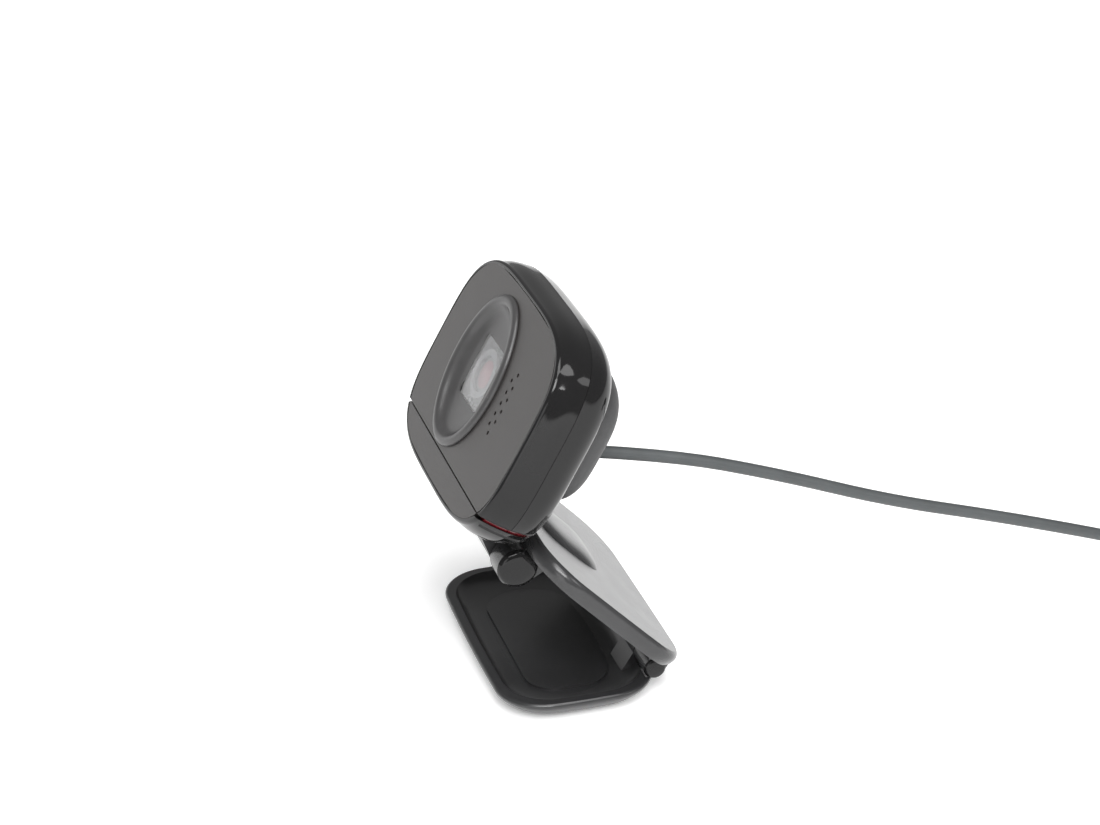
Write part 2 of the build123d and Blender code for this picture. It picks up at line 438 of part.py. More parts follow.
# housing screws: through the rear shell's floor into the front bosses
housing_screws = []
rear_posts = []
for x, y in BOSS:
    rear_posts.append(rod(2.3, (x, y, PART_Z - 0.02), (x, y, -12.2)))
    sc = rod(0.68, (x, y, -4.6), (x, y, -11.6)) + rod(1.5, (x, y, -11.6), (x, y, -12.4))
    housing_screws.append(sc)
front_housing = front_housing + bosses
front_housing = front_housing - cam_cut
for i, (x, y) in enumerate(BOSS):
    front_housing = front_housing - rod(0.7, (x, y, PART_Z - 1), (x, y, -4.4))
    web_x = (32.3 if y > 0 else 33.0) * (1 if x > 0 else -1)
    web = block(min(x, web_x), max(x, web_x), y - 0.6, y + 0.6, -12.0, PART_Z - 0.05)
    rear_housing = rear_housing + rear_posts[i] + web
    rear_housing = rear_housing - rod(0.72, (x, y, 0), (x, y, -13)) - rod(1.55, (x, y, -11.58), (x, y, -13))
    web2 = block(min(x, web_x), max(x, web_x), y - 0.6, y + 0.6, PART_Z + 0.05, -2.2)
    front_housing = front_housing + (web2 - rod(0.7, (x, y, PART_Z - 1), (x, y, -4.4)))
rear_housing = rear_housing - back_hole
chin_screws = []
for x in (-22.0, 22.0):
    chin_shell = chin_shell + rod(1.9, (x, ROOF + 0.1, SWIVEL_Z), (x, -24.2, SWIVEL_Z))
    chin_shell = chin_shell - rod(0.8, (x, SEAM + 1, SWIVEL_Z), (x, -22.6, SWIVEL_Z))
    chin_screws.append(rod(0.78, (x, SEAM - 0.72 - 0.6, SWIVEL_Z), (x, -22.4, SWIVEL_Z)) +
                       rod(1.5, (x, SEAM - 0.72 - 0.6, SWIVEL_Z), (x, SEAM - 0.72, SWIVEL_Z)))
    chin_shell = chin_shell - rod(1.55, (x, SEAM - 0.72 - 0.62, SWIVEL_Z), (x, SEAM, SWIVEL_Z))

# ================================================================= cord
COIL_X, COIL_Y, COIL_Z0 = 9.0, 206.0, 0.5
COIL_W, COIL_H = 9.6, 12.2            # three turns wide, four high
start = boot_end - OUT_DIR * 9.0
cord_pts = [(0.0, start.Y, start.Z),
            (0.0, 30.0, start.Z + OUT_DIR.Z / OUT_DIR.Y * (30.0 - start.Y)),
            (0.5, 58.0, 37.5),
            (0.0, 87.0, 26.0),
            (0.9, 115.0, 18.1),
            (1.8, 140.0, 10.3),
            (0.0, 160.0, 2.6),
            (-4.0, 175.0, 1.52),
            (-7.2, 192.4, 1.75)]


def route_radii(pts):
    v = [Vector(*q) for q in pts]
    radii = []
    for i in range(1, len(v) - 1):
        a, b = v[i] - v[i - 1], v[i + 1] - v[i]
        turn = radians(a.get_angle(b))
        radii.append(0.45 * min(a.length, b.length) / tan(turn / 2))
    return radii


radii = route_radii(cord_pts)
print("cord radii", [round(r, 1) for r in radii])
path = FilletPolyline([Vector(*q) for q in cord_pts], radius=radii)
wire = path.wire() if hasattr(path, "wire") else Wire(path.edges())
d0 = (Vector(*cord_pts[1]) - Vector(*cord_pts[0])).normalized()
sec = Plane(origin=Vector(*cord_pts[0]), z_dir=d0) * Circle(CORD_D / 2)
usb_cable = sweep(sec, path=wire)
print("cord tube volume", round(usb_cable.volume, 1), "section x length", round(pi * (CORD_D / 2) ** 2 * wire.length, 1),
      "length", round(wire.length, 1))
prof = Plane.XZ * Pos(COIL_R, COIL_Z0 + COIL_H / 2) * RectangleRounded(COIL_W, COIL_H, 1.6)
cord_coil = Pos(COIL_X, COIL_Y, 0) * revolve(prof, Axis.Z, 360)
TOP = COIL_Z0 + COIL_H - 1.6
tail_pts = [(COIL_X + 0.5, COIL_Y + 19.5, TOP), (COIL_X + 13.0, COIL_Y + 19.3, TOP - 0.7),
            (COIL_X + 24.2, COIL_Y + 14.8, TOP - 3.4), (COIL_X + 29.8, COIL_Y + 5.0, 4.9),
            (COIL_X + 29.8, COIL_Y - 5.0, 4.0)]
tail_radii = route_radii(tail_pts)
print("tail radii", [round(r, 1) for r in tail_radii])
tail_path = FilletPolyline([Vector(*q) for q in tail_pts], radius=tail_radii)
tail_wire = tail_path.wire()
tail_sec = Plane(origin=Vector(*tail_pts[0]), z_dir=(Vector(*tail_pts[1]) - Vector(*tail_pts[0])).normalized()) \
    * Circle(CORD_D / 2)
cord_tail = sweep(tail_sec, path=tail_wire)
print("tail volume", round(cord_tail.volume, 1), "section x length", round(pi * (CORD_D / 2) ** 2 * tail_wire.length, 1),
      "length", round(tail_wire.length, 1))
PX, PY = COIL_X + 29.8, COIL_Y - 3.0


def plug_section(w, h, r, y):
    return (Plane(origin=(PX, y, 4.0), x_dir=(1, 0, 0), z_dir=(0, -1, 0)) * RectangleRounded(w, h, r)).face().outer_wire()


usb_plug_body = Solid.make_loft([plug_section(4.6, 4.6, 1.8, PY), plug_section(6.4, 5.6, 2.0, PY - 3.5),
                                 plug_section(15.0, 7.7, 2.2, PY - 7.5)]) \
    + Solid.make_loft([plug_section(15.0, 7.7, 2.2, PY - 7.5), plug_section(15.5, 8.0, 2.2, PY - 12.0),
                       plug_section(15.2, 7.8, 2.2, PY - 22.0)])
usb_plug_body = usb_plug_body - rod(CORD_D / 2 + 0.02, (PX, PY + 1, 4.1), (PX, PY - 5.0, 4.1))
usb_plug_body = usb_plug_body - block(PX - 6.02, PX + 6.02, PY - 23, PY - 17, 1.73, 6.27)
usb_plug_shell = block(PX - 6.0, PX + 6.0, PY - 34.5, PY - 17.05, 1.75, 6.25) \
    - block(PX - 5.7, PX + 5.7, PY - 40, PY - 20.0, 2.05, 5.95) \
    - block(PX - 3.6, PX - 1.4, PY - 30.5, PY - 28.2, 5, 9) - block(PX + 1.4, PX + 3.6, PY - 30.5, PY - 28.2, 5, 9)
usb_plug_tongue = block(PX - 5.6, PX + 5.6, PY - 33.6, PY - 20.02, 4.05, 5.9)
TA = radians(-35.0)
tie_c = (COIL_X + COIL_R * cos(TA), COIL_Y + COIL_R * sin(TA))
tie = Box(COIL_W + 1.5, 4.6, COIL_H + 0.95) - Box(COIL_W + 0.5, 6, COIL_H + 0.06)
cord_tie = Pos(tie_c[0], tie_c[1], COIL_Z0 + COIL_H / 2) * Rot(0, 0, degrees(TA)) * tie

# ================================================================= write
out(placed(HEAD, face_panel), "face_panel")
out(placed(HEAD, front_housing), "front_housing")
out(placed(HEAD, rear_housing), "rear_housing")
out(placed(HEAD, back_shell) - Solid.make_cylinder(3.42, 30, boot_dir_plane.offset(-8)), "back_shell")
out(placed(HEAD, swivel_plate), "swivel_plate")
out(placed(HEAD, lens_bezel), "lens_bezel")
out(placed(HEAD, lens_window), "lens_window")
out(placed(HEAD, lens_hood), "lens_hood")
out(placed(HEAD, lens_barrel), "lens_barrel")
out(placed(HEAD, front_element), "lens_front_element")
out(placed(HEAD, rear_element), "lens_rear_element")
out(placed(HEAD, lens_holder), "lens_holder")
out(placed(HEAD, ir_filter), "ir_filter")
out(placed(HEAD, image_sensor), "image_sensor")
out(placed(HEAD, main_board), "main_board")
out(placed(HEAD, processor_chip), "processor_chip")
out(placed(HEAD, microphone), "microphone")
out(placed(HEAD, microphone_gasket), "microphone_gasket")
out(placed(HEAD, status_led), "status_led")
out(placed(HEAD, led_light_pipe), "led_light_pipe")
out(placed(HEAD, cord_header), "cord_header")
out(placed(HEAD, board_screw), "board_screw")
out([placed(HEAD, s_) for s_ in housing_screws], "housing_screws")
out(strain_relief, "strain_relief")
out(placed(HEAD, chin_face_strip), "chin_face_strip")
out(placed(HEAD, chin_shell), "chin_shell")
out(placed(HEAD, accent_ring), "accent_ring")
out(placed(HEAD, swivel_post), "swivel_post")
out(placed(HEAD, swivel_spring_washer), "swivel_spring_washer")
out(placed(HEAD, swivel_screw), "swivel_screw")
out([placed(HEAD, s_) for s_ in chin_screws], "chin_screws")
out(neck_block, "neck_block")
out(tilt_bush, "tilt_bushes")
out(tilt_washers, "tilt_washers")
out(tilt_pin, "tilt_pin")
out(upper_plate, "upper_plate")
out(upper_pad, "upper_pad")
out(spine_cover, "spine_cover")
out(spine_screws, "spine_screws")
out(lower_plate, "lower_plate")
out(inner_pad, "inner_pad")
out(rubber_foot, "rubber_foot")
out(leg_hinge_pin, "leg_hinge_pin")
out(leg_spring, "leg_friction_spring")
out(usb_cable, "usb_cable")
out(cord_coil, "cord_coil")
out(cord_tie, "cord_tie")
out(cord_tail, "cord_tail")
out(usb_plug_body, "usb_plug_body")
out(usb_plug_shell, "usb_plug_shell")
out(usb_plug_tongue, "usb_plug_tongue")
print("exit", tuple(round(c, 3) for c in boot_end), "swivel pos", tuple(HEAD.from_local_coords(Vector(0, SEAM, SWIVEL_Z))))
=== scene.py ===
import bpy, bmesh, json, math
from mathutils import Vector, Matrix


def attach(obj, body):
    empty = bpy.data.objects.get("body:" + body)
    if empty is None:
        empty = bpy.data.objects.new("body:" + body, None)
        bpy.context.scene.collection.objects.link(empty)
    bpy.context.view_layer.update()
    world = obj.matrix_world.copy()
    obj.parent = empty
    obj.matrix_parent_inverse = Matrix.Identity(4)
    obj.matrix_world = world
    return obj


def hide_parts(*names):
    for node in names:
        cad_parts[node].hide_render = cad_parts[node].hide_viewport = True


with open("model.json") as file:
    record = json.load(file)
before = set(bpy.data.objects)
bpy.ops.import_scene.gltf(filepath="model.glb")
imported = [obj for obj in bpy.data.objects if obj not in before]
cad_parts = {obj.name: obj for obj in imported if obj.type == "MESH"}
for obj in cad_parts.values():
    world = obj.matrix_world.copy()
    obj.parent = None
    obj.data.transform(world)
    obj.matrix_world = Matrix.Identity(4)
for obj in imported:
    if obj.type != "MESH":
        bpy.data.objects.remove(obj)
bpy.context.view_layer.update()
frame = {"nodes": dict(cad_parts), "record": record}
N = frame["nodes"]
scene = bpy.context.scene

# ------------------------------------------------------------------ camera
cam_data = bpy.data.cameras.new("camera")
cam = bpy.data.objects.new("camera", cam_data)
scene.collection.objects.link(cam)
right = Vector((0.28593801, 0.95824812, 0.0))
up = Vector((-0.41366822, 0.1234372, 0.90202099))
back = Vector((0.86435991, -0.25792208, 0.43169218))
m = Matrix((right, up, back)).transposed().to_4x4()
m.translation = Vector((0.48926, -0.14374, 0.30531))
cam.matrix_world = m
cam_data.sensor_width = 36.0
cam_data.lens = 82.363
cam_data.clip_start, cam_data.clip_end = 0.01, 30
scene.camera = cam


# ------------------------------------------------------------------ materials
def mat(name, base, rough, bump=0.0, bump_scale=900.0, coat=0.0, coat_rough=0.05, metallic=0.0, ior=1.5,
        mottle=0.12, mottle_scale=60.0, rough_var=0.08, spec=0.5, transmission=0.0, brushed=False, alpha=1.0,
        noise_detail=3.0, scratch=0.0, sheen=0.0):
    mt = bpy.data.materials.new(name)
    mt.use_nodes = True
    nt = mt.node_tree
    b = nt.nodes["Principled BSDF"]
    co = nt.nodes.new("ShaderNodeTexCoord")
    mp = nt.nodes.new("ShaderNodeMapping")
    nt.links.new(co.outputs["Object"], mp.inputs["Vector"])
    if brushed:
        mp.inputs["Scale"].default_value = (1.0, 14.0, 14.0)
    n1 = nt.nodes.new("ShaderNodeTexNoise")
    n1.inputs["Scale"].default_value = mottle_scale
    n1.inputs["Detail"].default_value = 4.0
    nt.links.new(mp.outputs["Vector"], n1.inputs["Vector"])
    ramp = nt.nodes.new("ShaderNodeValToRGB")
    c0 = [c * (1 - mottle) for c in base] + [1]
    c1 = [min(1.0, c * (1 + mottle)) for c in base] + [1]
    ramp.color_ramp.elements[0].position, ramp.color_ramp.elements[0].color = 0.3, c0
    ramp.color_ramp.elements[1].position, ramp.color_ramp.elements[1].color = 0.7, c1
    nt.links.new(n1.outputs["Fac"], ramp.inputs["Fac"])
    nt.links.new(ramp.outputs["Color"], b.inputs["Base Color"])
    mr = nt.nodes.new("ShaderNodeMapRange")
    mr.inputs["To Min"].default_value = max(0.01, rough - rough_var / 2)
    mr.inputs["To Max"].default_value = min(1.0, rough + rough_var / 2)
    nt.links.new(n1.outputs["Fac"], mr.inputs["Value"])
    nt.links.new(mr.outputs["Result"], b.inputs["Roughness"])
    if bump > 0:
        n2 = nt.nodes.new("ShaderNodeTexNoise")
        n2.inputs["Scale"].default_value = bump_scale
        n2.inputs["Detail"].default_value = noise_detail
        nt.links.new(mp.outputs["Vector"], n2.inputs["Vector"])
        bp = nt.nodes.new("ShaderNodeBump")
        bp.inputs["Strength"].default_value = bump
        bp.inputs["Distance"].default_value = 0.00005
        nt.links.new(n2.outputs["Fac"], bp.inputs["Height"])
        nt.links.new(bp.outputs["Normal"], b.inputs["Normal"])
    b.inputs["Metallic"].default_value = metallic
    b.inputs["IOR"].default_value = ior
    b.inputs["Specular IOR Level"].default_value = spec
    b.inputs["Coat Weight"].default_value = coat
    b.inputs["Coat Roughness"].default_value = coat_rough
    b.inputs["Transmission Weight"].default_value = transmission
    b.inputs["Alpha"].default_value = alpha
    b.inputs["Sheen Weight"].default_value = sheen
    return mt


M = {
    "gloss_black": mat("gloss_black", (0.0085, 0.0083, 0.0085), 0.07, 0.05, 240, spec=0.30, rough_var=0.03, mottle_scale=40),
    "satin_black": mat("satin_black", (0.0235, 0.0208, 0.0198), 0.38, 0.50, 2600, coat=0.0, rough_var=0.06, mottle=0.10, mottle_scale=300),
    "shell_grey": mat("shell_grey", (0.034, 0.034, 0.035), 0.55, 0.5, 2200, rough_var=0.08, mottle=0.10, mottle_scale=200),
    "stand_black": mat("stand_black", (0.022, 0.022, 0.023), 0.30, 0.22, 1500, rough_var=0.06, mottle=0.12, mottle_scale=120),
    "bezel_grey": mat("bezel_grey", (0.045, 0.044, 0.0445), 0.33, 0.3, 2200, rough_var=0.05, mottle=0.08, mottle_scale=200),
    "red_accent": mat("red_accent", (0.105, 0.006, 0.009), 0.25, 0.08, 800, coat=0.4, mottle=0.15, mottle_scale=150),
    "clear_window": mat("clear_window", (0.93, 0.94, 0.96), 0.04, 0.02, 300, ior=1.49, transmission=1.0, mottle=0.01, rough_var=0.02),
    "lens_glass": mat("lens_glass", (0.42, 0.17, 0.20), 0.05, 0.02, 300, ior=1.6, transmission=0.35, coat=1.0, mottle=0.05, rough_var=0.02),
    "steel": mat("steel", (0.56, 0.56, 0.57), 0.30, 0.35, 900, metallic=1.0, brushed=True, rough_var=0.12),
    "nickel": mat("nickel", (0.70, 0.69, 0.66), 0.20, 0.2, 700, metallic=1.0, brushed=True, rough_var=0.10),
    "circuit": mat("circuit", (0.02, 0.11, 0.05), 0.35, 0.5, 420, coat=0.5, mottle=0.35, mottle_scale=220),
    "black_part": mat("black_part", (0.018, 0.018, 0.018), 0.5, 0.4, 1800, mottle=0.15),
    "white_plastic": mat("white_plastic", (0.72, 0.72, 0.69), 0.45, 0.3, 1500, mottle=0.04),
    "rubber": mat("rubber", (0.028, 0.028, 0.028), 0.75, 0.9, 1500, rough_var=0.12, mottle=0.2, mottle_scale=200),
    "cord_grey": mat("cord_grey", (0.056, 0.061, 0.063), 0.50, 0.45, 1400, rough_var=0.10, mottle=0.10, mottle_scale=120),
    "lens_coating": mat("lens_coating", (0.230, 0.085, 0.095), 0.18, 0.02, 300, ior=1.5, spec=0.15, mottle=0.06, rough_var=0.03),
    # lighter copy of the stand plastic: its raised base colour is painted sheen for the upper plate and spine, its
    # roughness is the plate's own finish
    "stand_painted_sheen": mat("stand_painted_sheen", (0.030, 0.030, 0.031), 0.24, 0.16, 1900, rough_var=0.05, mottle=0.10, mottle_scale=140),
    "tie_black": mat("tie_black", (0.03, 0.03, 0.03), 0.62, 0.9, 1800, mottle=0.2, mottle_scale=300),
}
slots = {s["node"]: s["material_slot"] for s in frame["record"]["subparts"]}


def paint(obj, slot_name):
    obj.data.materials.clear()
    obj.data.materials.append(M[slot_name])


for name, o in N.items():
    me = o.data
    mi = M[slots[name]]
    if len(me.materials) == 0:
        me.materials.append(mi)
    for i in range(len(me.materials)):
        me.materials[i] = mi

# ------------------------------------------------------------------ cord
MM = 0.001
COIL_X, COIL_Y, COIL_Z0 = 9.0, 206.0, 0.5
TOPZ = COIL_Z0 + 12.2 - 1.6
dirY, dirZ = math.cos(math.radians(10.5)), -math.sin(math.radians(10.5))
start = Vector((0.0, 3.857, 51.411))
route = [start, Vector((0.0, 30.0, start.z + dirZ / dirY * (30.0 - start.y))), Vector((0.5, 58.0, 37.5)),
         Vector((0.0, 87.0, 26.0)), Vector((0.9, 115.0, 18.1)), Vector((1.8, 140.0, 10.3)),
         Vector((0.0, 160.0, 2.6)), Vector((-4.0, 175.0, 1.62)), Vector((-8.6, 188.5, 1.9))]
# turns: three across and four high, wound out and in, clockwise from above
radii = [19.5, 16.5, 13.5, 13.5, 16.5, 19.5, 19.5, 16.5, 13.5, 13.5, 16.5, 19.5]
zs = [2.03, 2.03, 2.03, 5.03, 5.03, 5.03, 8.03, 8.03, 8.03, 11.03, 11.03, 11.03]
th0, th_end = math.radians(208.0), math.radians(88.0)
turns = 12
per = 18
coil = []
total = 2 * math.pi * (turns - 1) + (th0 - th_end)
steps = int(per * total / (2 * math.pi))
shrink = 1.0 / math.cos(math.pi / per)            # control points stand a little outside the turn
for i in range(steps + 1):
    ang = total * i / steps
    k = min(turns - 1, int(ang / (2 * math.pi)))
    f = ang / (2 * math.pi) - k
    r, z = radii[k], zs[k]
    if k < turns - 1 and f > 0.86:
        w = (f - 0.86) / 0.14
        w = w * w * (3 - 2 * w)
        r += (radii[k + 1] - r) * w
        z += (zs[k + 1] - z) * w
    th = th0 - ang
    coil.append(Vector((COIL_X + r * shrink * math.cos(th), COIL_Y + r * shrink * math.sin(th), z)))
tail = [Vector((COIL_X + 13.0, COIL_Y + 19.6, TOPZ - 0.7)), Vector((COIL_X + 24.2, COIL_Y + 14.8, TOPZ - 3.4)),
        Vector((COIL_X + 29.8, COIL_Y + 5.0, 4.9)), Vector((COIL_X + 29.8, COIL_Y - 4.0, 4.0))]
pts = [p * MM for p in route + coil + tail]


def nurbs(name, points, radius, res=6, bevel_res=6):
    cu = bpy.data.curves.new(name, "CURVE")
    cu.dimensions = "3D"
    sp = cu.splines.new("NURBS")
    sp.points.add(len(points) - 1)
    for i, p in enumerate(points):
        sp.points[i].co = (p[0], p[1], p[2], 1.0)
    sp.order_u = 3
    sp.use_endpoint_u = True
    sp.resolution_u = res
    cu.bevel_depth = radius
    cu.bevel_resolution = bevel_res
    cu.use_fill_caps = True
    ob = bpy.data.objects.new(name, cu)
    scene.collection.objects.link(ob)
    return ob


cord = nurbs("usb_cord", pts, 0.0015)
cord.data.materials.append(M["cord_grey"])
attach(cord, "head")
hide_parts("usb_cable", "cord_coil", "cord_tail")

# ------------------------------------------------------------------ smooth shading on the CAD nodes
for name, o in N.items():
    o.data.set_sharp_from_angle(angle=math.radians(33))

# ------------------------------------------------------------------ finely meshed shells
T = math.radians(29.0)
ST, CT = math.sin(T), math.cos(T)
A, B, P_ = 34.25, 25.0, 3.8
SEAM, PART_Z = -17.6, -7.5
LENS_U, LENS_V = -4.8, 2.0


def head_pt(u, v, n):
    return Vector((u, -14.5 + ST * v - CT * n, 69.5 + CT * v + ST * n)) * MM


def loop_pts(a, b, p, cu=0.0, cv=0.0, n=176):
    """n points evenly spaced along a squircle, starting at its +x side."""
    raw = []
    for i in range(1440):
        t = 2 * math.pi * i / 1440
        c, s = math.cos(t), math.sin(t)
        raw.append((a * math.copysign(abs(c) ** (2 / p), c), b * math.copysign(abs(s) ** (2 / p), s)))
    acc = [0.0]
    for i in range(1440):
        x0, y0 = raw[i]
        x1, y1 = raw[(i + 1) % 1440]
        acc.append(acc[-1] + math.hypot(x1 - x0, y1 - y0))
    out, j = [], 0
    for i in range(n):
        d = acc[-1] * i / n
        while acc[j + 1] < d:
            j += 1
        f = (d - acc[j]) / (acc[j + 1] - acc[j])
        x0, y0 = raw[j]
        x1, y1 = raw[(j + 1) % 1440]
        out.append((cu + x0 + (x1 - x0) * f, cv + y0 + (y1 - y0) * f))
    return out


def smooth_keys(keys, sub=5):
    """Catmull-Rom through tuples of numbers."""
    out = []
    for i in range(len(keys) - 1):
        p1, p2 = keys[i], keys[i + 1]
        p0 = keys[i - 1] if i > 0 else tuple(2 * x - y for x, y in zip(p1, p2))
        p3 = keys[i + 2] if i + 2 < len(keys) else tuple(2 * y - x for x, y in zip(p1, p2))
        for s in range(sub):
            t = s / sub
            out.append(tuple(0.5 * (2 * b + (c - a) * t + (2 * a - 5 * b + 4 * c - d) * t * t
                                    + (3 * b - a - 3 * c + d) * t ** 3)
                             for a, b, c, d in zip(p0, p1, p2, p3)))
    out.append(keys[-1])
    return out


def grid_mesh(name, rings, place, closed=False, caps=True):
    """rings: lists of (x, y, z) in local millimetres, all with as many points."""
    bm = bmesh.new()
    rows = [[bm.verts.new(place(*q)) for q in r] for r in rings]
    n = len(rings[0])
    last = len(rows) if closed else len(rows) - 1
    for i in range(last):
        a, b = rows[i], rows[(i + 1) % len(rows)]
        for j in range(n):
            k = (j + 1) % n
            bm.faces.new((a[j], a[k], b[k], b[j]))
    if not closed and caps:
        bm.faces.new(rows[0][::-1])
        bm.faces.new(rows[-1])
    bmesh.ops.recalc_face_normals(bm, faces=bm.faces)
    return bm


def cut(bm, co, no):
    """Keeps the side that no points away from, and closes the cut."""
    g = bm.verts[:] + bm.edges[:] + bm.faces[:]
    r = bmesh.ops.bisect_plane(bm, geom=g, plane_co=co, plane_no=no, clear_outer=True, clear_inner=False, dist=1e-8)
    ed = [e for e in bm.edges if e.is_boundary]
    seen = set()
    for e in ed:
        if e in seen:
            continue
        loop, stack = [], [e]
        while stack:
            x = stack.pop()
            if x in seen:
                continue
            seen.add(x)
            loop.append(x)
            for v in x.verts:
                for y in v.link_edges:
                    if y.is_boundary and y not in seen:
                        stack.append(y)
        bmesh.ops.contextual_create(bm, geom=loop)
    bmesh.ops.recalc_face_normals(bm, faces=bm.faces)


def finish_piece(name, bm, body, slot_name, nodes, angle=35, bevel=0.0, material=None):
    me = bpy.data.meshes.new(name)
    bm.to_mesh(me)
    bm.free()
    ob = bpy.data.objects.new(name, me)
    scene.collection.objects.link(ob)
    for p in me.polygons:
        p.use_smooth = True
    me.materials.append(material or M[slot_name])
    if bevel:
        bv = ob.modifiers.new("bevel", "BEVEL")
        bv.width, bv.segments, bv.limit_method, bv.angle_limit = bevel * MM, 2, "ANGLE", math.radians(40)
        bv.harden_normals = False
    sharp(me, angle)
    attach(ob, body)
    if nodes:
        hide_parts(*nodes)
    return ob


def sharp(me, angle):
    """Marks edges sharper than angle, so smooth shading keeps them."""
    bm = bmesh.new()
    bm.from_mesh(me)
    lim = math.radians(angle)
    for e in bm.edges:
        e.smooth = not (len(e.link_faces) == 2 and e.calc_face_angle(0) > lim)
    bm.to_mesh(me)
    bm.free()


V_DIR = Vector((0, ST, CT))
outer_keys = [(A - 0.98, B - 0.98, -0.02), (A - 0.62, B - 0.62, -0.10), (A - 0.25, B - 0.25, -0.55), (A - 0.02, B - 0.02, -1.4),
              (A + 0.70, B + 0.85, -4.2), (A + 1.08, B + 1.28, PART_Z)]
outer_keys2 = [(A + 1.08, B + 1.28, PART_Z), (A + 0.62, B + 0.72, -11.2), (A - 0.5, B - 0.5, -13.6),
               (A - 1.9, B - 1.9, -14.9), (A - 3.3, B - 3.3, -15.45), (A - 4.6, B - 4.6, -15.6)]


def ring_at(a, b, z, p=P_, cu=0.0, cv=0.0, n=176):
    return [(x, y, z) for x, y in loop_pts(a, b, p, cu, cv, n)]


def front_profile(extra=0.0):
    rings = [ring_at(A - 1.3, B - 1.3, -1.62), ring_at(A - 1.3, B - 1.3, -0.14), ring_at(A - 1.22, B - 1.22, -0.04),
             ring_at(A - 1.1, B - 1.1, 0.0)]
    rings += [ring_at(a, b, z) for a, b, z in smooth_keys(outer_keys, 4)]
    rings[-1] = ring_at(A + 1.08, B + 1.28, PART_Z + 0.06)
    rings += [ring_at(A + 1.03, B + 1.23, PART_Z + 0.02), ring_at(A - 1.6, B - 1.6, PART_Z + 0.03), ring_at(A - 1.6, B - 1.6, -1.62)]
    return rings


def rear_profile():
    rings = [ring_at(A - 1.6, B - 1.6, PART_Z - 0.03), ring_at(A + 1.03, B + 1.23, PART_Z - 0.02), ring_at(A + 1.08, B + 1.28, PART_Z - 0.06)]
    rings += [ring_at(a, b, z) for a, b, z in smooth_keys(outer_keys2, 4)[1:]]
    rings += [ring_at(27.6, 15.6, -15.6, 4.0, 0, 3.0), ring_at(27.25, 15.25, -15.4, 4.0, 0, 3.0), ring_at(27.25, 15.25, -12.6, 4.0, 0, 3.0),
              ring_at(A - 1.6, B - 1.6, -12.6)]
    return rings


def outline_half_width(z, v):
    """Half width of the outer skin at depth z and height v."""
    ks = smooth_keys(outer_keys, 6) + smooth_keys(outer_keys2, 6)[1:]
    ks.sort(key=lambda q: q[2])
    for i in range(len(ks) - 1):
        if ks[i][2] <= z <= ks[i + 1][2] and ks[i + 1][2] > ks[i][2]:
            f = (z - ks[i][2]) / (ks[i + 1][2] - ks[i][2])
            a = ks[i][0] + (ks[i + 1][0] - ks[i][0]) * f
            b = ks[i][1] + (ks[i + 1][1] - ks[i][1]) * f
            return a * (1 - (abs(v) / b) ** P_) ** (1 / P_)
    return 0.0


def slab(bm, v0, v1, z_list, inset, notch=None):
    """Adds a plate between heights v0 and v1 whose sides follow the outer skin, inset.
    notch = (radius, centre z): a round opening on the edge that faces the parting plane."""
    side = [(outline_half_width(z, (v0 + v1) / 2) - inset, z) for z in z_list]
    poly = side + [(-w, z) for w, z in side[::-1]]
    if notch:
        r, zc = notch
        edge_z = z_list[-1] if abs(z_list[-1] - zc) < abs(z_list[0] - zc) else z_list[0]
        inner = 1 if sum(z_list) / len(z_list) > zc else -1
        half = math.asin(max(-1.0, min(1.0, (edge_z - zc) * inner / r)))
        arc = []
        for i in range(25):
            t = half + (math.pi - 2 * half) * i / 24
            arc.append((r * math.cos(t), zc + inner * r * math.sin(t)))
        if edge_z == z_list[-1]:
            poly = side + arc + [(-w, z) for w, z in side[::-1]]
        else:
            poly = side + [(-w, z) for w, z in side[::-1]] + arc[::-1]
    bot = [bm.verts.new(head_pt(u, v0, z)) for u, z in poly]
    top = [bm.verts.new(head_pt(u, v1, z)) for u, z in poly]
    n = len(poly)
    fs = [bm.faces.new(bot), bm.faces.new(top[::-1])]
    for i in range(n):
        j = (i + 1) % n
        fs.append(bm.faces.new((bot[i], top[i], top[j], bot[j])))
    bmesh.ops.recalc_face_normals(bm, faces=fs)


HEAD_CUT = head_pt(0, SEAM + 0.3, 0)
CHIN_CUT = head_pt(0, SEAM - 0.7, 0)
POST_R = 3.3
zf = [-1.7 - 0.42 * i for i in range(14)]
zr = [-7.56 - 0.5 * i for i in range(15)]

bm = grid_mesh("front", front_profile(), head_pt, closed=True)
cut(bm, HEAD_CUT, -V_DIR)
slab(bm, SEAM + 0.3, SEAM + 1.8, [z for z in zf if z > -7.45] + [-7.46], 0.25, (POST_R, -8.2))
front = finish_piece("front_housing_shell", bm, "head", "gloss_black", ["front_housing"], 38)

bm = grid_mesh("rear", rear_profile(), head_pt, closed=True)
cut(bm, HEAD_CUT, -V_DIR)
slab(bm, SEAM + 0.3, SEAM + 1.8, [z for z in zr if z > -15.1], 0.25, (POST_R, -8.2))
rear = finish_piece("rear_housing_shell", bm, "head", "gloss_black", ["rear_housing"], 38)

# chin: both halves of the skin below the seam, in one shell
chin_rings = front_profile()[:-3][:-1] + [ring_at(A + 1.08, B + 1.28, PART_Z)] + [ring_at(a, b, z) for a, b, z in smooth_keys(outer_keys2, 4)[1:]] \
    + [ring_at(A - 6.5, B - 6.5, -15.6), ring_at(A - 6.5, B - 6.5, -13.6), ring_at(A - 2.0, B - 2.0, -12.6), ring_at(A - 1.6, B - 1.6, -1.62)]
bm = grid_mesh("chin", chin_rings, head_pt, closed=True)
cut(bm, CHIN_CUT, V_DIR)
slab(bm, SEAM - 2.3, SEAM - 0.7, [-1.7 - 0.5 * i for i in range(27)], 0.25)
chin = finish_piece("chin_skin", bm, "neck", "gloss_black", ["chin_shell"], 38)

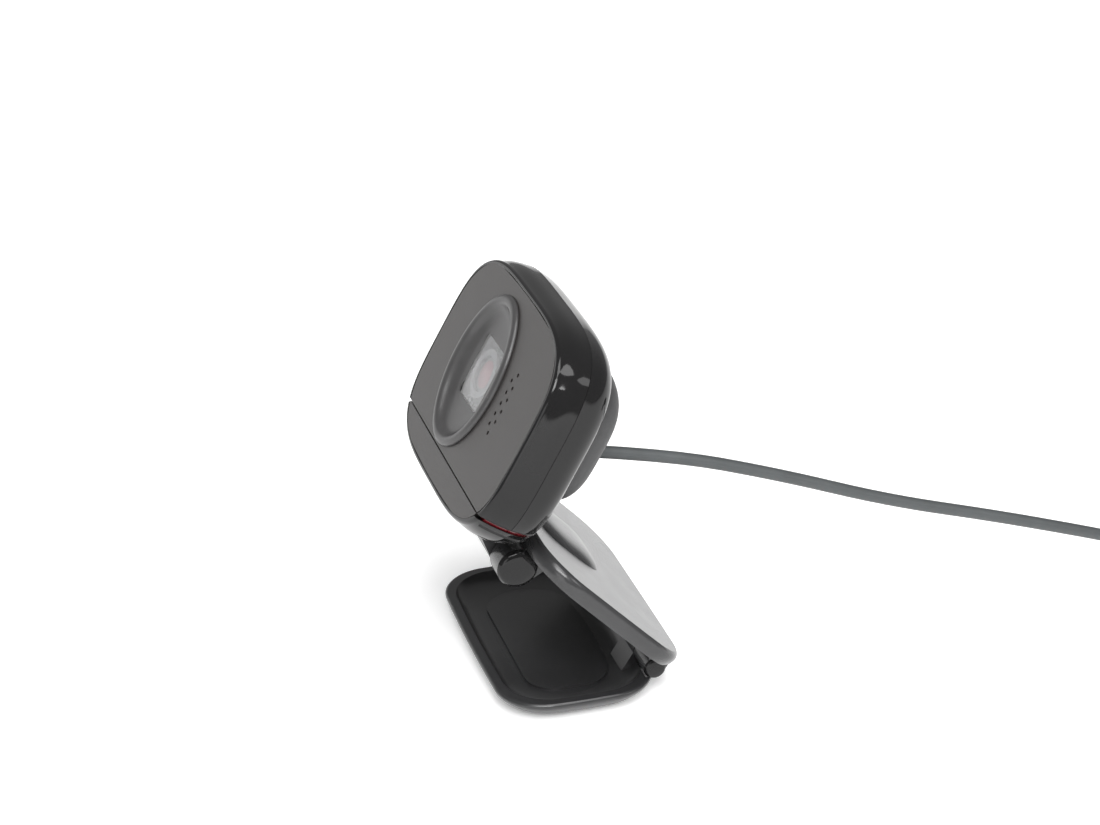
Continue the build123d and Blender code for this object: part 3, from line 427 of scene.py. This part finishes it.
# back shell
bs_keys = [(28.9, 16.9, -15.62, 3.8), (28.75, 16.75, -16.6, 3.8), (28.3, 16.3, -18.4, 3.8), (27.2, 15.3, -20.4, 3.7),
           (25.0, 13.4, -22.1, 3.5), (21.0, 10.4, -23.3, 3.3), (15.0, 7.0, -23.9, 3.0), (8.0, 3.6, -24.15, 2.6), (2.0, 1.0, -24.2, 2.2)]
rings = [ring_at(27.0, 15.0, -13.4, 4.0, 0, 3.0), ring_at(27.0, 15.0, -15.5, 4.0, 0, 3.0), ring_at(28.6, 16.6, -15.56, 3.8, 0, 3.0)]
rings += [ring_at(a, b, z, p, 0, 3.0) for a, b, z, p in smooth_keys(bs_keys, 4)]
rings = [ring_at(25.2, 13.2, -20.0, 4.0, 0, 3.0), ring_at(25.2, 13.2, -13.4, 4.0, 0, 3.0)] + rings
bm = grid_mesh("back", rings, head_pt)
backs = finish_piece("back_shell_cover", bm, "head", "shell_grey", ["back_shell"], 38)


# camera bezel: rounded rim, bowl that runs from an ellipse to a square light opening
def bez(a, b, p, z, n=160):
    return [(x, y, z) for x, y in loop_pts(a, b, p, LENS_U, LENS_V, n)]


rim = [(14.45, 18.65, 2.0, -0.02), (14.5, 18.7, 2.0, 0.12), (14.42, 18.62, 2.0, 0.45), (14.15, 18.35, 2.0, 0.78),
       (13.75, 17.95, 2.0, 0.97), (13.25, 17.45, 2.0, 1.05), (12.7, 16.9, 2.0, 0.98), (12.2, 16.4, 2.02, 0.74), (11.8, 15.95, 2.05, 0.35)]
bowl = [(11.45, 15.5, 2.1, -0.1), (10.9, 14.6, 2.2, -0.55), (9.9, 13.0, 2.4, -0.95), (8.8, 11.0, 2.9, -1.25), (7.6, 9.0, 4.0, -1.42),
        (6.95, 7.85, 8.0, -1.49), (6.6, 7.5, 14.0, -1.52)]
rings = [bez(13.5, 17.7, 2.0, -2.5), bez(13.5, 17.7, 2.0, -0.03)] + [bez(a, b, p, z) for a, b, p, z in smooth_keys(rim, 3)] \
    + [bez(a, b, p, z) for a, b, p, z in smooth_keys(bowl, 4)] + [bez(6.6, 7.5, 14.0, -2.5)]
bm = grid_mesh("bezel", rings, head_pt, closed=True)
bezel = finish_piece("camera_bezel", bm, "head", "bezel_grey", ["lens_bezel"], 40)

# front glass of the lens, a shallow dome behind the window
def dome_rings(r, z_rim, z_top, thick, n=64, steps=7):
    out = []
    for i in range(steps):
        f = i / steps
        out.append([((r * (1 - f)) * math.cos(2 * math.pi * j / n) + LENS_U,
                     (r * (1 - f)) * math.sin(2 * math.pi * j / n) + LENS_V,
                     z_rim + (z_top - z_rim) * (1 - (1 - f) ** 2)) for j in range(n)])
    return out


top_r = dome_rings(4.15, -3.2, -2.62, 0.5)
under = [(x, y, -3.55) for x, y, z in top_r[0]]
bm = grid_mesh("lens", [under] + top_r, head_pt)
lens_glass_front = finish_piece("lens_coated_glass", bm, "head", "lens_glass", [], 40, material=M["lens_coating"])

# low spine on the leaning plate
R2 = math.sqrt(0.5)
ZT = 34.6 * R2


def slope_pt(x, s, z):
    return Vector((x, R2 * (s + z), R2 * (z - s))) * MM


sp = [(11.0, 10.05, ZT + 0.03), (10.85, 9.9, ZT + 0.16), (10.2, 9.3, ZT + 0.55), (9.0, 8.3, ZT + 0.95), (7.4, 6.9, ZT + 1.25),
      (5.2, 5.0, ZT + 1.45), (2.8, 2.8, ZT + 1.53), (1.0, 1.0, ZT + 1.55)]
rings = [ring_at(a, b, z, 3.4, 0, -17.55) for a, b, z in smooth_keys(sp, 4)]
bm = grid_mesh("spine", rings, slope_pt)
# spine and upper plate take the lighter copy of the stand plastic (painted sheen); the pad takes the tray plastic and
# the lens hood the bezel grey
spine = finish_piece("spine_ridge", bm, "upper_plate", "stand_black", ["spine_cover"], 40, material=M["stand_painted_sheen"])
for nm, mk in (("upper_plate", "stand_painted_sheen"), ("inner_pad", "stand_black"), ("lens_hood", "bezel_grey")):
    for i in range(len(N[nm].data.materials)):
        N[nm].data.materials[i] = M[mk]


# rounded ends on the hinge barrels
def end_cap(name, x, sx, r, h, yc, zc, body):
    rings = []
    for rr, hh in smooth_keys([(r - 0.25, -0.35), (r - 0.02, -0.05), (r - 0.06, 0.12), (r * 0.86, h * 0.62), (r * 0.55, h * 0.90),
                               (r * 0.2, h * 0.99), (0.15, h)], 4):
        rings.append([(x + sx * hh, yc + rr * math.cos(2 * math.pi * j / 72), zc + rr * math.sin(2 * math.pi * j / 72))
                      for j in range(72)])
    bmc = grid_mesh(name, rings, lambda a, b, c: Vector((a, b, c)) * MM)
    return finish_piece(name, bmc, body, "stand_black", [], 40, material=M["gloss_black"])


end_cap("tilt_barrel_cap", 20.0, 1, 4.7, 1.5, -11.2, 33.8, "upper_plate")
end_cap("leg_barrel_cap", 27.0, 1, 2.6, 0.9, 19.0, 6.9, "upper_plate")

# ------------------------------------------------------------------ floor and light
fm = bpy.data.materials.new("floor_white")
fm.use_nodes = True
fb = fm.node_tree.nodes["Principled BSDF"]
fb.inputs["Base Color"].default_value = (0.97, 0.97, 0.97, 1)
fb.inputs["Roughness"].default_value = 0.9
fb.inputs["Emission Color"].default_value = (1, 1, 1, 1)
fb.inputs["Emission Strength"].default_value = 0.25
bm = bmesh.new()
bmesh.ops.create_grid(bm, x_segments=8, y_segments=8, size=3.0)
fme = bpy.data.meshes.new("floor")
bm.to_mesh(fme)
bm.free()
floor = bpy.data.objects.new("floor", fme)
floor.location = (0, 0, -0.0002)
scene.collection.objects.link(floor)
fme.materials.append(fm)


def area(name, loc, target, size, power, size_y=None, color=(1, 1, 1)):
    ld = bpy.data.lights.new(name, "AREA")
    ld.energy = power
    ld.color = color
    ld.size = size
    if size_y:
        ld.shape = "RECTANGLE"
        ld.size_y = size_y
    ob = bpy.data.objects.new(name, ld)
    ob.location = loc
    d = Vector(target) - Vector(loc)
    ob.rotation_mode = "QUATERNION"
    ob.rotation_quaternion = d.to_track_quat("-Z", "Y")
    scene.collection.objects.link(ob)
    return ob


area("key", (0.98, -0.48, 1.18), (0, 0, 0.06), 0.50, 9, 0.55)
area("top", (0.42, 0.08, 1.35), (0, 0, 0.05), 0.85, 13)
area("window", (1.18, -0.08, 1.08), (0, 0, 0.06), 0.52, 10, 0.52)
area("side", (0.9, 1.1, 0.9), (0, 0, 0.06), 0.6, 4)
card = area("card", (-1.35, -0.80, 0.26), (0, -0.02, 0.08), 0.75, 1.35, 0.55)
card.visible_camera = False
area("fill", (1.3, -1.0, 0.30), (0, 0, 0.05), 0.8, 4)

world = bpy.data.worlds.new("studio")
scene.world = world
world.use_nodes = True
bg = world.node_tree.nodes["Background"]
bg.inputs["Color"].default_value = (1.0, 1.0, 1.0, 1)
bg.inputs["Strength"].default_value = 0.34
scene.view_settings.view_transform = "Standard"
scene.view_settings.look = "None"
